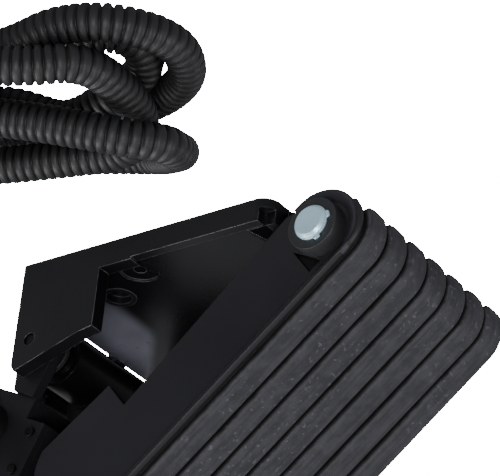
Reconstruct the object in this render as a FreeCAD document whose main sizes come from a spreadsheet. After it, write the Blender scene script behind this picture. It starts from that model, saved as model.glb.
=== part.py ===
"""Floor-standing electric foot pedal with a ribbed treadle and a corrugated cable conduit.

Frame: millimetres, +Z up, X from the heel to the toe of the treadle, Y across it.
The origin is on the underside of the base, midway between its two large mounting holes.
The treadle is drawn in its own frame, with the hinge axis as its Y axis and the tread along X.
"""
import FreeCAD, Part
import math
import os
import re

import Sketcher
from FreeCAD import Placement, Rotation, Vector

SIZES = {
    # Base
    "base_half": 37.2, "plate_thick": 3.0, "flange_high": 7.3, "flange_thick": 3.0,
    "heel_edge": -56.0, "side_end": 32.0, "toe_edge": 39.6, "toe_near_in": 9.7, "toe_far_in": 4.2,
    "base_corner": 5.0, "corner_cut": 3.6, "lip_heel": 8.0, "lip_high": 8.0,
    "rail_gap": 1.6, "rail_thick": 2.4, "rail_near_in": 5.5, "rail_foot": 2.3, "rail_high": 31.0,
    "rail_low": 28.0, "rail_notch": 10.8, "bridge_in": 3.7, "bridge_wide": 4.0, "bridge_back": 1.2,
    "bridge_high": 4.2,
    "hole_radius": 5.65, "hole_row": 0.0, "hole_in": 14.1, "hole_deep": 0.7, "hole_bore": 1.9,
    "hole_bevel": 0.25,
    "insert_radius": 4.5, "insert_row": 14.5, "insert_side": 14.0, "insert_bore": 3.8,
    "insert_flange": 5.3, "insert_lip": 0.3, "insert_floor": 0.8,
    "tab_heel": 3.2, "tab_thick": 4.55, "tab_corner": 2.7,
    "tab_top_toe": 33.3, "tab_tip_back": 1.3, "tab_tip_high": 35.2,
    "tab_knee_back": 23.3, "tab_knee_high": 27.8, "tab_heel_high": 26.9,
    # Hinge
    "hinge_x": -73.0, "hinge_z": 15.0, "rest_angle": 40.0,
    "shaft_radius": 5.0, "shaft_end": 1.15, "shaft_bevel": 0.8,
    "running_gap": 0.05, "bush_wall": 1.2, "bush_flange": 1.0, "bush_lip": 0.5,
    "ear_in": 13.2, "ear_thick": 4.0, "ear_radius": 7.6, "ear_foot": 14.0, "ear_lift": 0.6,
    "ear_slope": 35.0,
    "hub_radius": 7.85, "hub_long": 4.75, "clip_thick": 0.8, "clip_radius": 7.0, "clip_groove": 0.9,
    # Treadle
    "tread_long": 168.0, "tread_top": 13.1, "pad_thick": 2.7, "skin_thick": 2.4,
    "wall_in": 2.7, "wall_thick": 2.5, "tread_side": 1.7, "nose_wrap": 115.0,
    "nose_lip": 70.0, "recess_heel_s": 5.3, "recess_toe_s": 10.0, "recess_high": 7.4, "recess_tip_s": 9.7,
    "recess_tip": 2.6,
    "rib_first": 3.2, "rib_last": 9.2, "rib_count": 7, "groove_wide": 2.0,
    "groove_deep": 2.0, "rib_bevel": 0.6,
    "edge_heel_s": 4.5, "edge_heel_low": 14.0, "step_s": 73.3, "edge_step_low": 10.4,
    "lobe_low": 20.3, "lobe_end_s": 99.9, "lobe_end_low": 21.9, "lobe_bend": 14.0,
    "lobe_back_s": 109.0, "lobe_back_low": 9.0, "toe_low": 3.0,
    "boss_gap": 0.3, "boss_radius": 7.6, "recess_deep": 1.0,
    "cam_half": 4.0, "cam_heel_back": 7.94, "cam_toe_ahead": 35.06, "cam_drop": 0.72, "cam_curve": 124.0,
    # Lever
    "lever_x": 26.3, "lever_z": 25.8, "lever_radius": 3.5, "journal_radius": 1.9, "journal_inset": 0.6,
    "shoulder_gap": 0.15, "arm_long": 45.0, "sleeve_radius": 8.6, "sleeve_play": 2.2, "sleeve_far": 14.0,
    "collar_radius": 5.2, "collar_rim": 1.0, "collar_deep": 1.0,
    "arm_half": 9.5, "arm_root": 7.0, "arm_tip": 4.0,
    "roller_radius": 5.0, "roller_half": 6.0, "roller_gap": 0.2, "pin_radius": 2.0,
    "screw_radius": 2.0, "screw_y": -4.0, "screw_high": 1.2,
    # Spring
    "wire_radius": 0.8, "coil_radius": 4.7, "coil_pitch": 1.85, "coil_turns": 4, "coil_gap": 0.2,
    "spring_leg": 6.0,
    # Sensor
    "housing_tilt": 25.0, "neck_in": 1.6, "arm_gap": 2.5, "cover_thick": 2.0,
    "housing_top": 40.0, "housing_low": 14.6, "box_low": 20.8, "box_heel": -14.0, "box_toe": 14.0,
    "neck_heel": -6.0, "neck_toe": 2.1, "neck_gap": 1.05, "neck_thick": 3.6, "case_wall": 2.0,
    "board_thick": 1.6, "board_gap": 0.4, "case_floor": 4.0,
    "magnet_radius": 6.5, "magnet_thick": 1.4, "magnet_gap": 0.4,
    "cover_screw": 1.5, "cover_head": 0.9, "cover_screw_in": 3.6,
    "gland_x": 7.0, "gland_z": 27.0, "gland_radius": 7.4, "gland_long": 9.0, "gland_nut": 8.6,
    "gland_nut_long": 4.0, "gland_seat": 6.0,
    # Conduit
    "conduit_radius": 5.1, "tail_lead": 26.0,
    "plug_long": 30.0, "plug_half": 11.0, "plug_high": 10.4, "plug_wall": 1.5, "plug_deep": 12.0,
    "boot_long": 8.0, "boot_half": 7.5, "latch_back": 4.0, "latch_long": 14.0, "latch_half": 3.0,
    "latch_high": 2.2, "terminal_radius": 1.2, "terminal_pitch": 5.0, "terminal_short": 3.0,
}
# Places and lengths that follow from the sizes.
PLACES = {
    "toe_near": "base_half - toe_near_in", "toe_far": "base_half - toe_far_in",
    "rail_near": "toe_near - rail_near_in", "bridge_row": "rail_near - bridge_in",
    "hole_half": "base_half - hole_in", "ear_inner": "base_half - ear_in",
    "wall_face": "base_half - wall_in", "shaft_half": "wall_face + hub_long + clip_thick + shaft_end",
    "tread_half": "wall_face + tread_side", "first_groove": "rib_first - tread_half",
    "rib_pitch": "(2 * tread_half - rib_first - rib_last) / (rib_count - 1)",
    "neck_near": "tab_thick + neck_gap - base_half", "neck_far": "neck_near + neck_thick",
    "housing_near": "neck_near + neck_in", "housing_far": "-(arm_half + arm_gap)",
    "cavity_far": "housing_far - case_floor",
    "sleeve_near": "-(neck_far + magnet_gap + magnet_thick + sleeve_play)",
    "roller_s": "(lever_x - hinge_x) * cos(rest_angle) + (lever_z + arm_long - hinge_z) * sin(rest_angle)",
    "roller_low": "(lever_x - hinge_x) * sin(rest_angle) - (lever_z + arm_long - hinge_z) * cos(rest_angle)",
    "cam_heel_s": "roller_s - cam_heel_back", "cam_toe_s": "roller_s + cam_toe_ahead",
    "cam_low": "roller_low - roller_radius + cam_drop",
}

doc = FreeCAD.newDocument("FootPedal")
sheet = doc.addObject("Spreadsheet::Sheet", "Size")
for row, (alias, number) in enumerate(SIZES.items(), start=1):
    sheet.set(f"A{row}", alias)
    sheet.set(f"B{row}", str(number))
    sheet.setAlias(f"B{row}", alias)
doc.recompute()


def bound(text):
    """Write out each place that an expression uses, and the sheet's name before each size."""
    def written(word):
        if word[0] in PLACES:
            return f"({bound(PLACES[word[0]])})"
        return "Size." + word[0] if word[0] in SIZES else word[0]
    return re.sub(r"[a-z]\w*", written, text)


def size(text):
    """Value of an expression of sizes."""
    return float(sheet.evalExpression(bound(text)))


def bind(item, **expressions):
    """Tie properties of an object to expressions of sizes."""
    for name, text in expressions.items():
        item.setExpression(name, bound(text))
    return item


def place(item, x="0", y="0", z="0", angle="0", axis=Vector(0, 1, 0)):
    """Tie an object's place, and its turn about one axis, to expressions of sizes."""
    item.Placement = Placement(Vector(size(x), size(y), size(z)), Rotation(axis, size(angle)))
    for letter, text in (("x", x), ("y", y), ("z", z)):
        item.setExpression(f"Placement.Base.{letter}", bound(text))
    if angle != "0":
        item.setExpression("Placement.Rotation.Angle", f"({bound(angle)}) * 1 deg")
    return item


def new_body(name):
    """A body whose label names the piece."""
    body = doc.addObject("PartDesign::Body", name)
    body.Label = name
    return body


def sketch_on(body, role, offset="0"):
    """A sketch on one of the body's own planes, moved along the plane's normal."""
    sketch = body.newObject("Sketcher::SketchObject", "Profile")
    plane = next(item for item in body.Origin.OriginFeatures if item.Role == role)
    sketch.AttachmentSupport = [(plane, "")]
    sketch.MapMode = "FlatFace"
    sketch.AttachmentOffset = Placement(Vector(0, 0, size(offset)), Rotation())
    sketch.setExpression("AttachmentOffset.Base.z", bound(offset))
    return sketch


def tie(sketch, kind, *where, text):
    """Add one dimension to a sketch and tie it to an expression of sizes."""
    index = sketch.addConstraint(Sketcher.Constraint(kind, *where, size(text)))
    sketch.setExpression(f"Constraints[{index}]", bound(text))


def arc_between(start, end, radius, side):
    """Short arc from start to end; side 1 bulges to the right of the way, -1 to the left."""
    chord = end - start
    normal = Vector(-chord.y, chord.x, 0).normalize() * side
    reach = math.sqrt(max(radius ** 2 - chord.Length ** 2 / 4, 0.0))
    centre = (start + end) / 2 + normal * reach
    first = math.atan2(start.y - centre.y, start.x - centre.x)
    last = math.atan2(end.y - centre.y, end.x - centre.x)
    ends = (first, last) if side > 0 else (last, first)
    return Part.ArcOfCircle(Part.Circle(centre, Vector(0, 0, 1), radius), *ends)


def outline(sketch, corners):
    """Closed outline through corners; a third and fourth entry make the next side an arc."""
    points = [Vector(size(corner[0]), size(corner[1]), 0) for corner in corners]
    ends = []
    for number, corner in enumerate(corners):
        start, end = points[number], points[(number + 1) % len(points)]
        if len(corner) > 2:
            geo = sketch.addGeometry(arc_between(start, end, size(corner[2]), corner[3]), False)
            ends.append((geo, 1, 2) if corner[3] > 0 else (geo, 2, 1))
        else:
            geo = sketch.addGeometry(Part.LineSegment(start, end), False)
            ends.append((geo, 1, 2))
    for number, corner in enumerate(corners):
        before, here = ends[number - 1], ends[number]
        sketch.addConstraint(Sketcher.Constraint("Coincident", before[0], before[2], here[0], here[1]))
        tie(sketch, "DistanceX", -1, 1, here[0], here[1], text=corner[0])
        tie(sketch, "DistanceY", -1, 1, here[0], here[1], text=corner[1])
        if len(corner) > 2:
            tie(sketch, "Radius", here[0], text=corner[2])
    return sketch


def box_outline(sketch, x_low, x_high, y_low, y_high):
    """Rectangle between four expressions."""
    return outline(sketch, [(x_low, y_low), (x_high, y_low), (x_high, y_high), (x_low, y_high)])


def circle(sketch, x, y, radius):
    """Circle in a sketch, tied to its centre and radius."""
    centre = Vector(size(x), size(y), 0)
    geo = sketch.addGeometry(Part.Circle(centre, Vector(0, 0, 1), size(radius)), False)
    tie(sketch, "DistanceX", -1, 1, geo, 3, text=x)
    tie(sketch, "DistanceY", -1, 1, geo, 3, text=y)
    tie(sketch, "Radius", geo, text=radius)
    return sketch


def extrude(body, sketch, length, kind="Pad", midplane=False, backwards=False):
    """Pad or pocket of a sketch, with its length tied; a pocket has to take volume away."""
    before = 0.0 if body.Tip is None else body.Tip.Shape.Volume
    feature = body.newObject(f"PartDesign::{kind}", kind)
    feature.Profile = sketch
    feature.Midplane = midplane
    feature.Reversed = backwards
    bind(feature, Length=length)
    doc.recompute()
    change = feature.Shape.Volume - before
    if (change < 0) != (kind == "Pocket") or abs(change) < 1e-6:
        raise RuntimeError(f"{body.Label}: {kind} changed the volume by {change:.3f}")
    return feature


def turn(body, sketch, axis_x, axis_y, angle, kind="Revolution", backwards=False):
    """Turn a sketch about a line through the given point of the sketch, along its local X axis."""
    middle = Vector(size(axis_x), size(axis_y), 0)
    geo = sketch.addGeometry(Part.LineSegment(middle - Vector(1, 0, 0), middle + Vector(1, 0, 0)), True)
    sketch.addConstraint(Sketcher.Constraint("Horizontal", geo))
    tie(sketch, "DistanceY", -1, 1, geo, 1, text=axis_y)
    feature = body.newObject(f"PartDesign::{kind}", kind)
    feature.Profile = sketch
    feature.ReferenceAxis = (sketch, ["Axis0"])
    feature.Reversed = backwards
    bind(feature, Angle=angle)
    doc.recompute()
    return feature


def mirror(body, features, role="XZ_Plane"):
    """Mirror features of a body in one of its own planes."""
    plane = next(item for item in body.Origin.OriginFeatures if item.Role == role)
    feature = body.newObject("PartDesign::Mirrored", "Mirrored")
    feature.Originals = features
    feature.MirrorPlane = (plane, [""])
    body.Tip = feature
    doc.recompute()
    return feature


def dress(body, kind, pick, amount):
    """Fillet or chamfer the edges of the tip that pick accepts."""
    base = body.Tip
    names = [f"Edge{n}" for n, edge in enumerate(base.Shape.Edges, start=1) if pick(edge)]
    if not names:
        raise RuntimeError(f"{body.Label}: no edge to {kind}")
    feature = body.newObject(f"PartDesign::{kind}", kind)
    feature.Base = (base, names)
    bind(feature, **{"Radius" if kind == "Fillet" else "Size": amount})
    body.Tip = feature
    doc.recompute()
    return feature


def upright(x, y=None, tolerance=0.01):
    """Accept straight edges along Z at a place, on both sides where y is given."""
    def pick(edge):
        low, high = edge.BoundBox, edge.BoundBox
        return (high.ZLength > 1 and low.XLength < tolerance and low.YLength < tolerance
                and abs(low.XMin - x) < tolerance and (y is None or abs(abs(low.YMin) - y) < tolerance))
    return pick


def rod(name, radius, low, high, bevel=None):
    """Round bar along Y between two expressions, at the piece's own origin."""
    body = new_body(name)
    extrude(body, circle(sketch_on(body, "XZ_Plane", f"-({low})"), "0", "0", radius), f"({high}) - ({low})",
            backwards=True)
    if bevel:
        dress(body, "Chamfer", lambda edge: edge.BoundBox.YLength < 0.01, bevel)
    return body


def tube(name, outer, inner, low, high):
    """Round bar along Y with a bore."""
    body = rod(name, outer, low, high)
    extrude(body, circle(sketch_on(body, "XZ_Plane", f"-({low})"), "0", "0", inner), f"({high}) - ({low})",
            kind="Pocket")
    return body


# Base

def base_frame():
    """Folded plate with side flanges, lever tabs, hinge ears, mounting holes and a toe rail."""
    body = new_body("base_frame")
    plan = sketch_on(body, "XY_Plane")
    outline(plan, [
        ("heel_edge", "-base_half"), ("side_end", "-base_half"), ("side_end", "-toe_near"),
        ("toe_edge", "-toe_near"), ("toe_edge", "toe_far"), ("side_end", "toe_far"),
        ("side_end", "base_half"), ("heel_edge", "base_half")])
    extrude(body, plan, "flange_high")
    dress(body, "Fillet", upright(size("heel_edge"), size("base_half")), "base_corner")
    inside = sketch_on(body, "XY_Plane", "flange_high")
    box_outline(inside, "heel_edge + flange_thick", "toe_edge + flange_thick",
                "flange_thick - base_half", "base_half - flange_thick")
    extrude(body, inside, "flange_high - plate_thick", kind="Pocket")
    tab = sketch_on(body, "XZ_Plane", "base_half")
    outline(tab, [
        ("-lip_heel", "0"), ("side_end - tab_corner", "0", "tab_corner", 1),
        ("side_end", "tab_corner"), ("side_end", "tab_top_toe"),
        ("side_end - tab_tip_back", "tab_tip_high"), ("side_end - tab_knee_back", "tab_knee_high"),
        ("tab_heel", "tab_heel_high"), ("tab_heel", "lip_high"), ("-lip_heel", "lip_high")])
    side = extrude(body, tab, "tab_thick", backwards=True)
    ear = sketch_on(body, "XZ_Plane", "ear_inner + ear_thick")
    outline(ear, [
        ("hinge_x", "hinge_z - ear_radius"), ("heel_edge", "ear_lift"),
        ("heel_edge + ear_foot", "ear_lift"), ("heel_edge + ear_foot", "plate_thick"),
        ("hinge_x + ear_radius * sin(ear_slope)", "hinge_z + ear_radius * cos(ear_slope)", "ear_radius", 1),
        ("hinge_x - ear_radius", "hinge_z", "ear_radius", 1)])
    arm = extrude(body, ear, "ear_thick", backwards=True)
    mirror(body, [side, arm])
    corners = sketch_on(body, "XY_Plane", "2 * lip_high")
    for low, high in (("-2 * base_half", "corner_cut - base_half"),
                      ("base_half - corner_cut", "2 * base_half")):
        box_outline(corners, "2 * heel_edge", "heel_edge + corner_cut", low, high)
    extrude(body, corners, "2 * lip_high - plate_thick", kind="Pocket")
    rail = sketch_on(body, "YZ_Plane", "toe_edge + rail_gap")
    outline(rail, [
        ("-rail_near", "rail_foot"), ("toe_far", "rail_foot"), ("toe_far", "rail_low"),
        ("-rail_notch", "rail_low"), ("-rail_notch", "rail_high"), ("-rail_near", "rail_high")])
    extrude(body, rail, "rail_thick")
    bridges = sketch_on(body, "YZ_Plane", "toe_edge - bridge_back")
    for sign in ("", "-"):
        box_outline(bridges, f"{sign}bridge_row - bridge_wide / 2", f"{sign}bridge_row + bridge_wide / 2",
                    "0", "bridge_high")
    extrude(body, bridges, "bridge_back + rail_gap + rail_thick / 2")
    holes = sketch_on(body, "XY_Plane", "plate_thick")
    bolts = sketch_on(body, "XY_Plane", "plate_thick")
    for sign in ("", "-"):
        circle(holes, "hole_row", f"{sign}hole_half", "hole_radius")
        circle(bolts, "hole_row", f"{sign}hole_half", "hole_bore")
    circle(bolts, "insert_row", "-insert_side", "insert_radius")
    extrude(body, holes, "hole_deep", kind="Pocket")
    extrude(body, bolts, "plate_thick", kind="Pocket")
    dress(body, "Chamfer", lambda edge: edge.BoundBox.ZLength < 0.01
          and abs(edge.BoundBox.ZMin - size("plate_thick")) < 0.01
          and abs(edge.BoundBox.XLength - 2 * size("hole_radius")) < 0.01, "hole_bevel")
    bores = sketch_on(body, "XZ_Plane")
    circle(bores, "hinge_x", "hinge_z", "shaft_radius + running_gap + bush_wall")
    circle(bores, "lever_x", "lever_z", "journal_radius + running_gap")
    extrude(body, bores, "4 * base_half", kind="Pocket", midplane=True)
    return body


def hinge_bush(name, side):
    """Flanged bearing bush pressed into one ear."""
    body = tube(name, "shaft_radius + running_gap + bush_wall", "shaft_radius + running_gap",
                "ear_inner", "ear_inner + ear_thick")
    lip = sketch_on(body, "XZ_Plane", "-(ear_inner + ear_thick)")
    circle(lip, "0", "0", "shaft_radius + running_gap + bush_wall + bush_flange")
    circle(lip, "0", "0", "shaft_radius + running_gap")
    extrude(body, lip, "bush_lip", backwards=True)
    turned = "0" if side > 0 else "180"
    return place(body, "hinge_x", "0", "hinge_z", turned, Vector(0, 0, 1))


def rivet_nut():
    """Blind threaded insert with a thin flange on the plate."""
    body = new_body("rivet_nut")
    extrude(body, circle(sketch_on(body, "XY_Plane"), "0", "0", "insert_radius"), "plate_thick")
    extrude(body, circle(sketch_on(body, "XY_Plane", "plate_thick"), "0", "0", "insert_flange"), "insert_lip")
    bore = circle(sketch_on(body, "XY_Plane", "plate_thick + insert_lip"), "0", "0", "insert_bore")
    extrude(body, bore, "plate_thick + insert_lip - insert_floor", kind="Pocket")
    return place(body, "insert_row", "-insert_side")


# Treadle

def treadle_body():
    """Moulded shell under the tread: two shaped side walls, a skin, hub bosses and the cam rib."""
    body = new_body("treadle_body")
    top = "tread_top - pad_thick"
    wall = sketch_on(body, "XZ_Plane", "wall_face")
    outline(wall, [
        (f"-({top})", "0", top, 1),
        (f"-({top}) * cos(nose_lip)", f"-({top}) * sin(nose_lip)"), ("edge_heel_s", "-edge_heel_low"),
        ("step_s", "-edge_step_low"), ("step_s", "-lobe_low"),
        ("lobe_end_s", "-lobe_end_low", "lobe_bend", 1), ("lobe_back_s", "-lobe_back_low"),
        ("tread_long", "-toe_low"), ("tread_long", top), ("0", top, top, 1)])
    near = extrude(body, wall, "wall_thick", backwards=True)
    recess = sketch_on(body, "XZ_Plane", "wall_face")
    outline(recess, [("recess_tip_s", "-recess_tip"), ("recess_heel_s", "recess_high"),
                     ("recess_toe_s", "recess_high")])
    dip = extrude(body, recess, "recess_deep", kind="Pocket")
    boss = sketch_on(body, "XZ_Plane", "wall_face - wall_thick")
    circle(boss, "0", "0", "boss_radius")
    hub = extrude(body, boss, "wall_face - wall_thick - ear_inner - ear_thick - bush_lip - boss_gap",
                  backwards=True)
    mirror(body, [near, dip, hub])
    band = sketch_on(body, "XZ_Plane")
    low = "tread_top - pad_thick - skin_thick"
    outline(band, [
        ("0", top, top, 1), (f"-({top}) * sin(nose_wrap)", f"({top}) * cos(nose_wrap)"),
        (f"-({low}) * sin(nose_wrap)", f"({low}) * cos(nose_wrap)", low, -1), ("0", low), ("tread_long", low),
        ("tread_long", top)])
    extrude(body, band, "2 * wall_face", midplane=True)
    cam = sketch_on(body, "XZ_Plane")
    outline(cam, [
        ("cam_heel_s", low), ("cam_heel_s", "-cam_low", "cam_curve", -1), ("cam_toe_s", "-cam_low"),
        ("cam_toe_s", low)])
    extrude(body, cam, "2 * cam_half", midplane=True)
    bore = sketch_on(body, "XZ_Plane")
    circle(bore, "0", "0", "shaft_radius")
    extrude(body, bore, "3 * wall_face", kind="Pocket", midplane=True)
    return place(body, "hinge_x", "0", "hinge_z", "-rest_angle")


def tread_pad():
    """Ribbed rubber cover that runs along the tread and round the heel of the treadle."""
    body = new_body("tread_pad")
    count = int(size("rib_count"))
    low = "tread_top - pad_thick"
    profile = [("-tread_half", low), ("-tread_half", "tread_top - rib_bevel"),
               ("rib_bevel - tread_half", "tread_top")]
    for number in range(count):
        groove = f"first_groove + {number} * rib_pitch"
        for step, height in (("- groove_wide / 2 - rib_bevel", "tread_top"),
                             ("- groove_wide / 2", "tread_top - rib_bevel"),
                             ("- groove_wide / 2", "tread_top - groove_deep"),
                             ("+ groove_wide / 2", "tread_top - groove_deep"),
                             ("+ groove_wide / 2", "tread_top - rib_bevel"),
                             ("+ groove_wide / 2 + rib_bevel", "tread_top")):
            profile.append((f"{groove} {step}", height))
    profile += [("tread_half - rib_bevel", "tread_top"), ("tread_half", "tread_top - rib_bevel"),
                ("tread_half", low)]
    extrude(body, outline(sketch_on(body, "YZ_Plane"), profile), "tread_long")
    nose = outline(sketch_on(body, "YZ_Plane"), profile)
    turn(body, nose, "0", "0", "nose_wrap", backwards=True)
    return place(body, "hinge_x", "0", "hinge_z", "-rest_angle")


# Lever

def lever_shaft():
    """Shaft between the base tabs, with a slim journal at each end."""
    body = rod("lever_shaft", "lever_radius", "tab_thick + shoulder_gap - base_half",
               "base_half - tab_thick - shoulder_gap")
    journal = sketch_on(body, "XZ_Plane")
    circle(journal, "0", "0", "journal_radius")
    extrude(body, journal, "2 * (base_half - journal_inset)", midplane=True)
    return place(body, "lever_x", "0", "lever_z")


def lever_arm():
    """Sleeve on the shaft with a tapered arm, forked at its tip for the roller."""
    body = new_body("lever_arm")
    extrude(body, circle(sketch_on(body, "XZ_Plane", "sleeve_near"), "0", "0", "sleeve_radius"),
            "sleeve_near + sleeve_far", backwards=True)
    groove = circle(sketch_on(body, "XZ_Plane", "sleeve_near"), "0", "0", "sleeve_radius - collar_rim")
    circle(groove, "0", "0", "collar_radius")
    extrude(body, groove, "collar_deep", kind="Pocket")
    web = outline(sketch_on(body, "XZ_Plane"), [
        ("-arm_root", "0"), ("arm_root", "0"), ("arm_tip", "arm_long", "arm_tip", 1),
        ("0", "arm_long + arm_tip", "arm_tip", 1), ("-arm_tip", "arm_long")])
    extrude(body, web, "2 * arm_half", midplane=True)
    fork = box_outline(sketch_on(body, "YZ_Plane"), "-roller_half - roller_gap", "roller_half + roller_gap",
                       "arm_long - 2 * roller_radius", "arm_long + 2 * roller_radius")
    extrude(body, fork, "4 * arm_root", kind="Pocket", midplane=True)
    holes = circle(sketch_on(body, "XZ_Plane"), "0", "0", "lever_radius")
    circle(holes, "0", "arm_long", "pin_radius")
    extrude(body, holes, "4 * sleeve_near", kind="Pocket", midplane=True)
    tapped = circle(sketch_on(body, "YZ_Plane"), "screw_y", "0", "screw_radius")
    extrude(body, tapped, "2 * sleeve_radius", kind="Pocket", backwards=True)
    return place(body, "lever_x", "0", "lever_z")


def arm_screw():
    """Grub screw that clamps the sleeve on its shaft; its end stands a little proud."""
    body = new_body("arm_set_screw")
    shank = circle(sketch_on(body, "YZ_Plane", "lever_radius"), "screw_y", "0", "screw_radius")
    extrude(body, shank, "sleeve_radius - lever_radius + screw_high")
    dress(body, "Chamfer", lambda edge: edge.BoundBox.XLength < 0.01
          and edge.BoundBox.XMin > size("sleeve_radius"), "screw_high / 3")
    return place(body, "lever_x", "0", "lever_z")


def torsion_spring():
    """Coil spring round the lever shaft, with its outer leg against the toe rail."""
    radius, wire, pitch = size("coil_radius"), size("wire_radius"), size("coil_pitch")
    first = size("sleeve_far + wire_radius + coil_gap")
    axis = Vector(size("lever_x"), 0, size("lever_z"))

    def on_coil(quarter):
        angle = quarter * math.pi / 2
        point = axis + Vector(radius * math.cos(angle), first + quarter * pitch / 4, radius * math.sin(angle))
        return point, Vector(-math.sin(angle), pitch / (2 * math.pi * radius), math.cos(angle)).normalize()

    stations = [on_coil(quarter) for quarter in range(4 * int(size("coil_turns")) + 4)]
    start, up = stations[0][0], Vector(0, 0, 1)
    end, toeward = stations[-1][0], Vector(1, 0, 0)
    stations[0], stations[-1] = (start, up), (end, toeward)
    tip = start - up * size("spring_leg")
    stop = Vector(size("toe_edge + rail_gap"), end.y, end.z)
    edges = [Part.LineSegment(tip, start).toShape()] + joined(stations)
    edges.append(Part.LineSegment(end, stop).toShape())
    return solid_piece("torsion_spring", piped(edges, wire, tip, up))


# Sensor

def in_housing(item):
    """Stand a piece that is drawn in the sensor housing's own frame."""
    return place(item, "lever_x", "0", "lever_z", "housing_tilt")


def sensor_housing():
    """Moulded case, open on the near side, on a neck that hangs on the lever shaft."""
    body = new_body("sensor_housing")
    case = outline(sketch_on(body, "XZ_Plane", "-(housing_near + cover_thick)"), [
        ("neck_heel", "housing_low"), ("box_toe", "housing_low"), ("box_toe", "housing_top"),
        ("box_heel", "housing_top"), ("box_heel", "box_low"), ("neck_heel", "box_low")])
    extrude(body, case, "housing_far - housing_near - cover_thick", backwards=True)
    cavity = box_outline(sketch_on(body, "XZ_Plane", "-(housing_near + cover_thick)"),
                         "box_heel + case_wall", "box_toe - case_wall", "box_low + case_wall",
                         "housing_top - case_wall")
    extrude(body, cavity, "cavity_far - housing_near - cover_thick", kind="Pocket")
    return in_housing(body)


def sensor_cover():
    """Lid of the sensor case, with the threaded seat of the cable gland."""
    body = new_body("sensor_cover")
    lid = outline(sketch_on(body, "XZ_Plane", "-housing_near"), [
        ("neck_heel", "housing_low"), ("box_toe", "housing_low"), ("box_toe", "housing_top"),
        ("box_heel", "housing_top"), ("box_heel", "box_low"), ("neck_heel", "box_low")])
    extrude(body, lid, "cover_thick", backwards=True)
    seat = circle(sketch_on(body, "XZ_Plane", "-housing_near"), "gland_x", "gland_z",
                  "conduit_radius")
    extrude(body, seat, "cover_thick", kind="Pocket")
    return in_housing(body)


def neck():
    """Bracket between the base tab and the sensor case, with an eye round the lever shaft."""
    body = new_body("sensor_bracket")
    plate = outline(sketch_on(body, "XZ_Plane", "-neck_near"), [
        ("neck_heel", "0", "-neck_heel", 1), ("0", "neck_heel", "-neck_heel", 1), ("-neck_heel", "0"),
        ("neck_toe", "housing_low"), ("neck_heel", "housing_low")])
    extrude(body, plate, "neck_far - neck_near", backwards=True)
    eye = circle(sketch_on(body, "XZ_Plane", "-neck_near"), "0", "0", "lever_radius + magnet_gap")
    extrude(body, eye, "neck_far - neck_near", kind="Pocket")
    return in_housing(body)


def sensor_board():
    """Circuit board on the floor of the case."""
    body = new_body("sensor_board")
    board = box_outline(sketch_on(body, "XZ_Plane", "-cavity_far"),
                        "box_heel + case_wall + board_gap", "box_toe - case_wall - board_gap",
                        "box_low + case_wall + board_gap", "housing_top - case_wall - board_gap")
    extrude(body, board, "board_thick")
    return in_housing(body)


def magnet_ring():
    """Ring magnet on the lever shaft, read by the sensor."""
    body = tube("magnet_ring", "magnet_radius", "lever_radius", "neck_far + magnet_gap",
                "neck_far + magnet_gap + magnet_thick")
    return place(body, "lever_x", "0", "lever_z")


def cable_gland():
    """Threaded tube in the cover that takes the end of the conduit."""
    body = new_body("cable_gland")
    outer = circle(sketch_on(body, "XZ_Plane", "-housing_near"), "gland_x", "gland_z", "gland_radius")
    circle(outer, "gland_x", "gland_z", "conduit_radius")
    extrude(body, outer, "gland_long")
    return in_housing(body)


def gland_nut():
    """Hexagon nut at the mouth of the gland."""
    body = new_body("gland_nut")
    corners = [(f"gland_x + gland_nut * {math.cos(n * math.pi / 3):.6f}",
                f"gland_z + gland_nut * {math.sin(n * math.pi / 3):.6f}") for n in range(6)]
    nut = outline(sketch_on(body, "XZ_Plane", "gland_long - housing_near"), corners)
    circle(nut, "gland_x", "gland_z", "conduit_radius")
    extrude(body, nut, "gland_nut_long")
    return in_housing(body)


def cover_screws():
    """Screws at the corners of the cover."""
    body = new_body("cover_screws")
    body.AllowCompound = True
    heads = sketch_on(body, "XZ_Plane", "-housing_near")
    for x, z in (("box_heel + cover_screw_in", "box_low + cover_screw_in"),
                 ("box_heel + cover_screw_in", "housing_top - cover_screw_in"),
                 ("box_toe - cover_screw_in", "housing_low + cover_screw_in"),
                 ("box_toe - cover_screw_in", "housing_top - cover_screw_in")):
        circle(heads, x, z, "cover_screw")
    extrude(body, heads, "cover_head")
    return in_housing(body)


# Conduit

HANK_TURN = 17.8
HANK_START = Vector(-73.0, 0.0, 0.0)
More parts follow.
